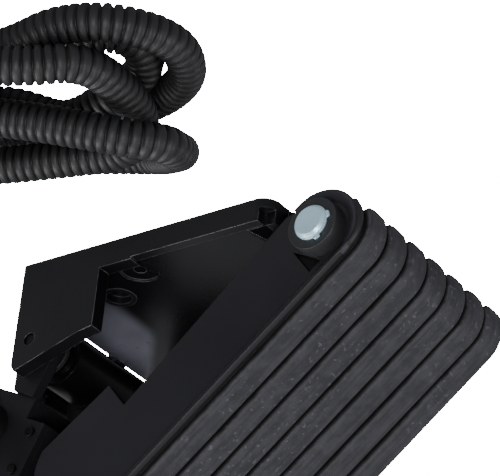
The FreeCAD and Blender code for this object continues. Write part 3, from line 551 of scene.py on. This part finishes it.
@dataclass
class Studio:
    """White floor, pale surroundings and soft lamps."""

    floor_half: float = 3.0
    floor_low: float = 0.0002
    glow: float = 40.0
    paper: Colour = (0.28, 0.28, 0.29, 1.0)
    sky: Colour = (0.95, 0.97, 1.0, 1.0)
    sky_strength: float = 0.45
    aim: Triple = (0.0, -0.05, 0.05)
    lamps: tuple[Lamp, ...] = (
        Lamp((-0.9, -1.4, 1.3), 23.0, 0.7), Lamp((0.4, -0.2, 1.8), 18.0, 1.2),
        Lamp((-1.6, 0.6, 0.9), 10.0, 0.8), Lamp((1.1, -0.25, 1.15), 14.0, 0.5))

    def floor(self) -> None:
        """Lay the floor, which the camera sees as plain white."""
        half, low = self.floor_half, -self.floor_low
        mesh = bpy.data.meshes.new("studio_floor")
        corners = [(-half, -half, low), (half, -half, low), (half, half, low), (-half, half, low)]
        mesh.from_pydata(corners, [], [(0, 1, 2, 3)])
        floor = bpy.data.objects.new("studio_floor", mesh)
        bpy.context.scene.collection.objects.link(floor)
        g = Graph("studio_white")
        glow = g.node("ShaderNodeEmission", {}, {"Color": grey(1.0), "Strength": self.glow})
        paper = g.node("ShaderNodeBsdfDiffuse", {}, {"Color": self.paper})
        seen = g.node("ShaderNodeLightPath", {}, {}, "Is Camera Ray")
        both = g.node("ShaderNodeMixShader", {}, {0: seen, 1: paper, 2: glow})
        g.tree.links.new(both.socket, g.output.inputs["Surface"])
        mesh.materials.append(g.material)

    def light(self) -> None:
        """Hang the lamps and the pale surroundings."""
        for number, lamp in enumerate(self.lamps):
            data = bpy.data.lights.new(f"soft_box_{number}", "AREA")
            data.energy, data.size = lamp.power, lamp.width
            box = bpy.data.objects.new(data.name, data)
            box.location = lamp.place
            aimed = Vector(self.aim) - Vector(lamp.place)
            box.rotation_euler = aimed.to_track_quat("-Z", "Y").to_euler()
            bpy.context.scene.collection.objects.link(box)
        world = bpy.data.worlds.new("studio_world")
        world.use_nodes = True
        background = world.node_tree.nodes["Background"]
        background.inputs[0].default_value = self.sky
        background.inputs[1].default_value = self.sky_strength
        bpy.context.scene.world = world

    def build(self) -> None:
        """Make the whole studio."""
        self.floor()
        self.light()


def lofted(name: str, loops: Sequence[Sequence[Triple]]) -> bpy.types.Mesh:
    """Closed mesh through equal loops, with both ends capped and its faces outwards.

    Args:
        name: Name of the mesh.
        loops: Loops of points, in metres.

    Returns:
        The mesh.
    """
    shell = bmesh.new()
    rings = [[shell.verts.new(point) for point in loop] for loop in loops]
    for ring, after in zip(rings, rings[1:]):
        for number, vert in enumerate(ring):
            past = (number + 1) % len(ring)
            shell.faces.new((vert, ring[past], after[past], after[number]))
    shell.faces.new(rings[0])
    shell.faces.new(rings[-1])
    bmesh.ops.recalc_face_normals(shell, faces=shell.faces)
    mesh = bpy.data.meshes.new(name)
    shell.to_mesh(mesh)
    shell.free()
    return mesh


def prism(name: str, outline: Sequence[Pair], low: float, high: float, bevel: float,
          material: bpy.types.Material) -> bpy.types.Object:
    """Prism along Y with bevelled edges; all sizes are in millimetres.

    Args:
        name: Name of the piece.
        outline: Its outline in X and Z.
        low: Start in Y.
        high: End in Y.
        bevel: Width of the bevel.
        material: Its material.

    Returns:
        The piece.
    """
    mesh = lofted(name, [[(x * MM, y * MM, z * MM) for x, z in outline] for y in (low, high)])
    mesh.materials.append(material)
    source = bpy.data.objects.new(f"{name}_source", mesh)
    bpy.context.scene.collection.objects.link(source)
    rounding = source.modifiers.new("bevel", "BEVEL")
    rounding.width, rounding.segments, rounding.limit_method = bevel * MM, 2, "ANGLE"
    bpy.context.view_layer.update()
    made_mesh = bpy.data.meshes.new_from_object(source.evaluated_get(bpy.context.evaluated_depsgraph_get()))
    bpy.data.objects.remove(source)
    made = bpy.data.objects.new(name, made_mesh)
    bpy.context.scene.collection.objects.link(made)
    made.data.shade_smooth()
    made.data.set_sharp_from_angle(angle=math.radians(40))
    return made


@dataclass(frozen=True)
class Strip:
    """One moulded strip beside the tread, in millimetres and degrees.

    The centre says how far behind and above the hinge the strip's bend has its centre.
    """

    label: str
    side: Side
    wrap: float
    reach: float
    centre: Pair
    crest: float
    material: bpy.types.Material


@dataclass
class Tread:
    """Ribbed rubber tread, the moulded rim along its near side and the two lobes round the hinge.

    Sizes are in millimetres in the treadle's own frame, whose Y axis is the hinge. The way along the
    tread goes on round the heel as an angle in degrees. The section of a rim or a lobe is given as
    distance from the middle and depth under its crest.
    """

    hinge: Pair = (-73.0, 15.0)
    tilt: float = 40.0
    long: float = 168.0
    top: float = 13.1
    low: float = 10.4
    near: float = -33.8
    far: float = 36.2
    first: float = -33.0
    pitch: float = 10.0
    groove: float = 1.7
    depth: float = 2.3
    shoulder: float = 0.9
    wrap: float = 95.0
    rib_end: float = 87.0
    end_round: float = 1.2
    corner: float = 3.0
    bend_back: float = 3.0
    bend_high: float = 2.0
    rim_wrap: float = 89.0
    lobe_wrap: float = 188.0
    rim_crest: float = 12.2
    lobe_crest: float = 12.5
    bend_step: int = 4
    end_steps: int = 18
    straight_step: int = 16
    toe_steps: tuple[float, ...] = (0.0, 0.1, 0.3, 0.6, 0.9, 1.2, 2.0)
    ribs: int = 7
    sharp: float = 38.0
    rim: tuple[Pair, ...] = (
        (34.4, 3.55), (34.9, 3.15), (35.9, 1.55), (36.2, 0.95), (36.1, 0.35), (35.6, 0.05),
        (35.0, 0.0), (34.4, 0.15), (33.95, 0.55), (33.8, 2.15), (32.1, 2.15), (32.1, 3.55))

    def ways(self, wrap: float, toe: float) -> list[float]:
        """Stations of a block's loops, closest where the ribs end.

        Args:
            wrap: Angle of the bend, in degrees.
            toe: Length of the straight part, in millimetres; zero for a bend alone.

        Returns:
            Stations from the end of the bend to the toe: radians below zero, then metres.
        """
        bends = {wrap, *range(0, int(wrap), self.bend_step)}
        straight: set[float] = set()
        if toe:
            bends |= {self.rib_end - step for step in range(self.end_steps)}
            half = self.straight_step // 2
            straight = {0.5, *range(half, int(toe) - half // 2, self.straight_step)}
            straight |= {toe - step for step in self.toe_steps}
        return ([-math.radians(angle) for angle in sorted(bends, reverse=True)]
                + [along * MM for along in sorted(straight)])

    def rows(self) -> list[float]:
        """Places across the tread that follow the rib edges, in millimetres."""
        half = (self.pitch - self.groove) / 2
        steps = (-half - 0.02, -half, 0.12 - half, 0.4 - half, self.shoulder - half, -half / 3)
        middles = [self.first + self.pitch * (rib + 0.5) for rib in range(self.ribs)]
        places = [middle + sign * step for middle in middles for step in steps for sign in (1, -1)]
        return sorted({self.near, self.far, *places})

    def bent(self, name: str) -> tuple[Growth, bpy.types.NodeSocket]:
        """Tree that raises the ribs of a straight block and bends it round the heel.

        Args:
            name: Name of the tree.

        Returns:
            The tree and the bent geometry.
        """
        tree = Growth(name, {label: "Float" for label in (
            "First Groove", "Pitch", "Groove", "Depth", "Shoulder", "Top", "Rib End", "Long", "End Round",
            "Corner", "Bend Back", "Bend High", "Tilt", "Hinge X", "Hinge Z")})
        entry, sums = tree.entry, tree.math
        place = tree.node("GeometryNodeInputPosition", {}, {})
        way, across, height = (tree.node("ShaderNodeSeparateXYZ", {}, {0: place}, part) for part in range(3))
        turn = sums("MAXIMUM", sums("MULTIPLY", way, -1.0), 0.0)
        along = sums("MAXIMUM", way, 0.0)

        def quarter(distance: bpy.types.NodeSocket, radius: bpy.types.NodeSocket) -> bpy.types.NodeSocket:
            """Height of a round shoulder at a distance from its foot, from zero to one."""
            share = tree.node("ShaderNodeMath", {"operation": "DIVIDE", "use_clamp": True},
                              {0: distance, 1: radius})
            back = sums("SUBTRACT", 1.0, share)
            return sums("SQRT", sums("SUBTRACT", 1.0, sums("MULTIPLY", back, back)))

        half = sums("MULTIPLY", entry("Pitch"), 0.5)
        phase = sums("FLOORED_MODULO", sums("SUBTRACT", across, entry("First Groove")), entry("Pitch"))
        off = sums("ABSOLUTE", sums("SUBTRACT", phase, half))
        edge = sums("SUBTRACT", sums("MULTIPLY_ADD", entry("Groove"), -0.5, half), off)
        crown = sums("MULTIPLY_ADD", quarter(edge, entry("Shoulder")), 0.5, 0.5)
        rise = sums("MULTIPLY", crown, sums("GREATER_THAN", edge, -0.000005))
        bend = sums("SUBTRACT", entry("Top"), entry("Bend High"))
        short = sums("MULTIPLY", entry("Corner"), sums("SUBTRACT", 1.0, quarter(edge, entry("Corner"))))
        left = sums("SUBTRACT", sums("MULTIPLY", sums("SUBTRACT", entry("Rib End"), turn), bend), short)
        heel = quarter(left, entry("End Round"))
        toe = quarter(sums("SUBTRACT", sums("SUBTRACT", entry("Long"), along), short), entry("End Round"))
        kept = sums("MULTIPLY", rise, sums("MULTIPLY", heel, toe))
        upper = sums("GREATER_THAN", height, sums("SUBTRACT", entry("Top"), 0.00001))
        cut = sums("MULTIPLY", upper, sums("MULTIPLY", entry("Depth"), sums("SUBTRACT", 1.0, kept)))
        level = sums("SUBTRACT", height, cut)
        arm = sums("SUBTRACT", level, entry("Bend High"))
        behind = sums("ADD", entry("Bend Back"), sums("MULTIPLY", arm, sums("SINE", turn)))
        local_x = sums("SUBTRACT", along, behind)
        local_z = sums("ADD", entry("Bend High"), sums("MULTIPLY", arm, sums("COSINE", turn)))
        cosine, sine = sums("COSINE", entry("Tilt")), sums("SINE", entry("Tilt"))
        x = sums("ADD", entry("Hinge X"),
                 sums("SUBTRACT", sums("MULTIPLY", local_x, cosine), sums("MULTIPLY", local_z, sine)))
        z = sums("ADD", entry("Hinge Z"),
                 sums("ADD", sums("MULTIPLY", local_x, sine), sums("MULTIPLY", local_z, cosine)))
        # The rib mask also goes to the tread's material, which paints shade into the grooves with it.
        marked = tree.node("GeometryNodeStoreNamedAttribute", {"data_type": "FLOAT", "domain": "POINT"},
                           {"Geometry": tree.shape, "Name": "rib", "Value": kept})
        spot = tree.node("ShaderNodeCombineXYZ", {}, {0: x, 1: across, 2: z})
        return tree, tree.node("GeometryNodeSetPosition", {}, {"Geometry": marked, "Position": spot})

    def piece(self, name: str, mesh: bpy.types.Mesh, depth: float, centre: Pair,
              material: bpy.types.Material) -> bpy.types.Object:
        """Bend a straight block into a piece that rides on the treadle.

        Args:
            name: Name of the piece.
            mesh: The straight block.
            depth: Depth of the grooves, in millimetres.
            centre: How far behind and above the hinge the bend has its centre, in millimetres.
            material: Its material.

        Returns:
            The piece.
        """
        tree, shape = self.bent(name)
        made = tree.grow(name, mesh, shape, material, {
            "First Groove": self.first * MM, "Pitch": self.pitch * MM, "Groove": self.groove * MM,
            "Depth": depth * MM, "Shoulder": self.shoulder * MM, "Top": self.top * MM,
            "Rib End": math.radians(self.rib_end), "Long": (self.long + self.bend_back) * MM,
            "End Round": self.end_round * MM, "Corner": self.corner * MM,
            "Bend Back": centre[0] * MM, "Bend High": centre[1] * MM,
            "Tilt": math.radians(self.tilt), "Hinge X": self.hinge[0] * MM, "Hinge Z": self.hinge[1] * MM})
        made.data.shade_smooth()
        made.data.set_sharp_from_angle(angle=math.radians(self.sharp))
        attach(made, "treadle")
        LOG.info("%s: %d faces", name, len(made.data.polygons))
        return made

    def build(self) -> None:
        """Make the tread, the rim along its near side and the two lobes."""
        section = [(side, self.top) for side in self.rows()] + [(self.far, self.low), (self.near, self.low)]
        nose, toe = (self.bend_back, self.bend_high), self.long + self.bend_back
        block = lofted("tread_block", [[(way, side * MM, high * MM) for side, high in section]
                                       for way in self.ways(self.wrap, toe)])
        rubber = TreadRubber(self.first * MM, self.pitch * MM, self.tilt).material()
        ribs = self.piece("tread_ribs", block, self.depth, nose, rubber)
        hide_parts("tread_pad")
        dark = Coating("rim_moulding", shade=0.011, blue=1.2, rough=0.38, shine=0.35).material()
        # The lobes take a lighter copy of the black moulding, painted light that lifts their shaded side
        # faces.
        pale = Coating("lobe_moulding_painted_light", shade=0.026, blue=1.2, rough=0.38, shine=0.35).material()
        self.edge(Strip("tread_rim", Side.NEAR, self.rim_wrap, toe, nose, self.rim_crest, dark))
        for side in Side:
            self.edge(Strip("heel_lobe", side, self.lobe_wrap, 0.0, (0.0, 0.0), self.lobe_crest, pale))

    def edge(self, strip: Strip) -> None:
        """Make one moulded strip."""
        section = [(strip.side.value * out * MM, (strip.crest - deep) * MM) for out, deep in self.rim]
        block = lofted(strip.label, [[(way, side, high) for side, high in section]
                                     for way in self.ways(strip.wrap, strip.reach)])
        name = f"{strip.label}_{strip.side.name.lower()}"
        made = self.piece(name, block, 0.0, strip.centre, strip.material)


@dataclass
class Clips:
    """Open clips in the shaft's grooves, whose two ears stand out past the shaft."""

    hinge: Pair = (-73.0, 15.0)
    inner: float = 4.15
    outer: float = 5.2
    ear: float = 6.05
    ears: tuple[float, ...] = (114.5, 195.0)
    ear_half: float = 11.0
    mouth: float = -25.0
    mouth_half: float = 32.0
    near: float = 39.27
    thick: float = 0.75
    steps: int = 74
    bevel: float = 0.12

    def outline(self) -> list[Pair]:
        """Outline of one clip round the hinge."""
        start, end = self.mouth + self.mouth_half, self.mouth + 360.0 - self.mouth_half
        angles = [start + (end - start) * step / self.steps for step in range(self.steps + 1)]

        def at(angle: float, radius: float) -> Pair:
            """Point at an angle and a radius."""
            turn = math.radians(angle)
            return (self.hinge[0] + radius * math.cos(turn), self.hinge[1] + radius * math.sin(turn))

        outside = []
        for angle in angles:
            on_ear = any(abs(angle - ear) < self.ear_half for ear in self.ears)
            outside.append(at(angle, self.ear if on_ear else self.outer))
        return outside + [at(angle, self.inner) for angle in reversed(angles)]

    def build(self, material: bpy.types.Material) -> None:
        """Make both clips."""
        for side in Side:
            reach = sorted((side.value * self.near, side.value * (self.near + self.thick)))
            name = side.name.lower()
            clip = prism(f"clip_{name}", self.outline(), *reach, self.bevel, material)
            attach(clip, "treadle")
            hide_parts(f"shaft_clip_{name}")
            LOG.info("%s: %d faces", clip.name, len(clip.data.polygons))


@dataclass
class RailTrim:
    """Rubber edging on the low part of the toe rail, under the lever arm."""

    inside: float = 40.9
    outside: float = 43.9
    foot: float = 26.6
    crown: float = 30.7
    near: float = -9.6
    far: float = 3.4
    bevel: float = 0.3
    arch_step: int = 15

    def outline(self) -> list[Pair]:
        """Outline of the edging: two straight sides under a half circle."""
        middle, half = (self.inside + self.outside) / 2, (self.outside - self.inside) / 2
        spring = self.crown - half
        turns = [math.radians(angle) for angle in range(0, 181, self.arch_step)]
        arch = [(middle + half * math.cos(turn), spring + half * math.sin(turn)) for turn in turns]
        return [(self.outside, self.foot), *arch, (self.inside, self.foot)]

    def build(self, material: bpy.types.Material) -> None:
        """Make the edging."""
        trim = prism("rail_trim", self.outline(), self.near, self.far, self.bevel, material)
        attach(trim, "base")
        LOG.info("rail_trim: %d faces", len(trim.data.polygons))


@dataclass
class Conduit:
    """The corrugated conduit: a tail from the gland, a loose hank of loops and a plug.

    The route's points are in metres, from the gland's mouth to the plug.
    """

    route: list[Triple] = field(default_factory=lambda: [
        (0.044, -0.063, 0.0473), (0.0542, -0.0919, 0.0461), (0.0541, -0.1217, 0.0393),
        (0.0417, -0.1485, 0.0312), (0.0183, -0.1667, 0.0236), (-0.0119, -0.1682, 0.0194),
        (-0.0455, -0.1516, 0.0213), (-0.0586, -0.1445, 0.0221), (-0.0706, -0.1361, 0.019),
        (-0.07, -0.1182, 0.0175), (-0.064, -0.1026, 0.0167), (-0.0532, -0.0949, 0.0177),
        (-0.037, -0.1001, 0.0181), (-0.0168, -0.1059, 0.018), (0.002, -0.1141, 0.018),
        (0.012, -0.1315, 0.0176), (0.0047, -0.1486, 0.0176), (-0.011, -0.1552, 0.018),
        (-0.0252, -0.1496, 0.0147), (-0.0375, -0.1423, 0.0113), (-0.0512, -0.1406, 0.0105),
        (-0.0643, -0.1414, 0.009), (-0.0788, -0.1357, 0.0093), (-0.0863, -0.1198, 0.008),
        (-0.0797, -0.1052, 0.0068), (-0.068, -0.0975, 0.0053), (-0.0554, -0.0957, 0.0051),
        (-0.0446, -0.0948, 0.0053), (-0.0305, -0.0972, 0.0053), (-0.0138, -0.1032, 0.0052),
        (0.0023, -0.1101, 0.0052), (0.0132, -0.1238, 0.0052), (0.0067, -0.1392, 0.0052),
        (-0.0096, -0.1419, 0.0052), (-0.0231, -0.1361, 0.0053), (-0.0355, -0.1325, 0.0056),
        (-0.0488, -0.1292, 0.0056), (-0.0632, -0.1319, 0.0054), (-0.0756, -0.1236, 0.0051),
        (-0.07, -0.1102, 0.0055), (-0.0559, -0.1062, 0.007), (-0.041, -0.1065, 0.012),
        (-0.0305, -0.112, 0.007), (-0.0211, -0.1168, 0.0054), (-0.0121, -0.1251, 0.0108),
        (-0.0175, -0.1368, 0.0166), (-0.0308, -0.1356, 0.0226), (-0.0433, -0.1294, 0.0243),
        (-0.0554, -0.1248, 0.0273), (-0.0702, -0.1169, 0.0306), (-0.0765, -0.1079, 0.0291),
        (-0.0737, -0.0989, 0.026), (-0.067, -0.0903, 0.0191), (-0.0572, -0.083, 0.0133),
        (-0.0465, -0.0768, 0.0069), (-0.0254, -0.0843, 0.005), (0.0036, -0.0941, 0.0053),
        (0.0182, -0.0986, 0.0052)])
    crest: float = 5.1
    groove: float = 4.2
    rib_pitch: float = 2.6
    profile: tuple[float, ...] = (1.0, 1.0, 0.95, 0.8, 0.0, 0.0, 0.8, 0.95)
    sides: int = 28
    smoothness: int = 24

    def mouth(self) -> Vector:
        """Where the conduit leaves the gland, in metres."""
        nut_low, nut_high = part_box("gland_nut")
        middle = (nut_low + nut_high) / 2
        return Vector((middle.x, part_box("conduit_tail")[1].y, middle.z))

    def line(self) -> np.ndarray:
        """Points of the smooth line through the route, evenly spaced at the ring distance."""
        data = bpy.data.curves.new("conduit_route", "CURVE")
        data.dimensions = "3D"
        data.resolution_u = self.smoothness
        spline = data.splines.new("NURBS")
        points = [self.mouth(), *self.route]
        spline.points.add(len(points) - 1)
        for slot, point in zip(spline.points, points):
            slot.co = (*point, 1.0)
        spline.order_u = 3
        spline.use_endpoint_u = True
        route = bpy.data.objects.new("conduit_route", data)
        bpy.context.scene.collection.objects.link(route)
        bpy.context.view_layer.update()
        mesh = bpy.data.meshes.new_from_object(route.evaluated_get(bpy.context.evaluated_depsgraph_get()))
        dense = np.array([vertex.co for vertex in mesh.vertices])
        bpy.data.objects.remove(route)
        bpy.data.meshes.remove(mesh)
        way = np.concatenate([[0.0], np.cumsum(np.linalg.norm(np.diff(dense, axis=0), axis=1))])
        ribs = round(way[-1] / (self.rib_pitch * MM))
        at = np.linspace(0.0, way[-1], ribs * len(self.profile) + 1)
        return np.stack([np.interp(at, way, dense[:, axis]) for axis in range(3)], axis=1)

    def tube(self, points: np.ndarray, material: bpy.types.Material) -> bpy.types.Object:
        """Corrugated tube made with geometry nodes.

        Args:
            points: Ring centres.
            material: Its material.

        Returns:
            A plain mesh object, with an attribute that is one on the crests and zero in the grooves.
        """
        data = bpy.data.curves.new("conduit", "CURVE")
        data.dimensions = "3D"
        spline = data.splines.new("POLY")
        spline.points.add(len(points) - 1)
        for number, (slot, point) in enumerate(zip(spline.points, points)):
            slot.co = (*point, 1.0)
            slot.radius = self.profile[number % len(self.profile)]
        tree = Growth("corrugated_tube", {"Crest": "Float", "Groove": "Float", "Sides": "Int"})
        rise = tree.node("GeometryNodeInputRadius", {}, {})
        # The crest mask also goes to the conduit's material, which paints shade into the grooves with it.
        kept = tree.node("GeometryNodeStoreNamedAttribute", {"data_type": "FLOAT", "domain": "POINT"},
                         {"Geometry": tree.shape, "Name": "crest", "Value": rise})
        span = tree.math("SUBTRACT", tree.entry("Crest"), tree.entry("Groove"))
        girth = tree.math("MULTIPLY_ADD", rise, span, tree.entry("Groove"))
        ring = tree.node("GeometryNodeCurvePrimitiveCircle", {},
                         {"Resolution": tree.entry("Sides"), "Radius": 1.0})
        swept = tree.node("GeometryNodeCurveToMesh", {}, {
            "Curve": kept, "Profile Curve": ring, "Scale": girth, "Fill Caps": True})
        smooth = tree.node("GeometryNodeSetShadeSmooth", {}, {0: swept})
        return tree.grow("conduit", data, smooth, material,
                         {"Crest": self.crest * MM, "Groove": self.groove * MM, "Sides": self.sides})

    def build(self) -> bpy.types.Object:
        """Returns:
            The conduit.
        """
        points = self.line()
        conduit = self.tube(points, ConduitPlastic().material())
        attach(conduit, "base")
        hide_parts("conduit_tail", "conduit_coil")
        tuple(self.mouth())
        2 * self.crest * MM
        return conduit


@dataclass(frozen=True)
class Finishes:
    """Finishes of the CAD nodes that no made piece replaces."""

    # The base paint has a painted reflection beside the toe slit, and its arrises are lighter as wear and
    # painted highlight.
    paint: Coating = BasePaint("black_paint", shade=0.006, blue=1.2, rough=0.25, rough_spread=0.06,
                               edge_wear_and_highlight=0.2, edge=0.0003)
    treadle: Coating = TreadleMoulding("treadle_moulding", shade=0.013, blue=1.25, rough=0.42)
    moulding: Coating = Coating("black_moulding", shade=0.009, rough=0.42, shine=0.2)
    case: Coating = Coating("case_moulding", shade=0.01, blue=1.2, rough=0.45, shine=0.2)
    washer: Coating = Coating("black_washer", shade=0.022, rough=0.38, shine=0.35, edge_wear_and_highlight=0.08, edge=0.0003)
    lever: Coating = Coating("black_lever", shade=0.004, shine=0.2)
    insert: Coating = Coating("black_insert", shade=0.012, shine=0.4, edge_wear_and_highlight=0.2, edge=0.0003)
    spring: Metal = Metal("black_steel", (0.06, 0.06, 0.065), 0.35)
    bronze: Metal = Metal("bronze", (0.5, 0.33, 0.16), 0.45)
    ferrite: Metal = Metal("ferrite", (0.12, 0.12, 0.13), 0.5)
    tinned: Metal = Metal("tinned", (0.75, 0.7, 0.5), 0.3)
    acetal: Plain = Plain("acetal", (0.7, 0.7, 0.67))
    board: Plain = Plain("circuit_board", (0.02, 0.16, 0.07))

    def build(self, zinc: bpy.types.Material) -> None:
        """Dress the nodes; the zinc is shared with the clips."""
        dress(zinc, "pivot_shaft", "arm_set_screw")
        dress(self.paint.material(), "base_frame")
        dress(self.treadle.material(), "treadle_body")
        dress(self.moulding.material(), "cable_gland", "gland_nut", "connector_body", "connector_latch",
              "connector_boot")
        dress(self.case.material(), "sensor_bracket", "sensor_housing", "sensor_cover")
        dress(self.washer.material(), "hub_washer_near", "hub_washer_far")
        dress(self.lever.material(), "lever_shaft", "lever_arm", "roller_pin", "cover_screws")
        dress(self.insert.material(), "rivet_nut")
        dress(self.spring.material(), "torsion_spring")
        dress(self.bronze.material(), "hinge_bush_near", "hinge_bush_far")
        dress(self.ferrite.material(), "magnet_ring")
        dress(self.tinned.material(), "connector_pins")
        dress(self.acetal.material(), "roller")
        dress(self.board.material(), "sensor_board")


def main() -> None:
    """Dress the pedal, lay the conduit and set the studio."""
    logging.basicConfig(level=logging.INFO, format="%(name)s: %(message)s")
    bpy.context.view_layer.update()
    PhotoCamera().build()
    Studio().build()
    zinc = Metal("zinc", (0.62, 0.87, 1.0), 0.26, bare=0.5).material()
    Conduit().build()
    Tread().build()
    Clips().build(zinc)
    RailTrim().build(Coating("black_rubber", shade=0.004, rough=0.5, shine=0.2).material())
    Finishes().build(zinc)


if __name__ == "__main__":
    main()
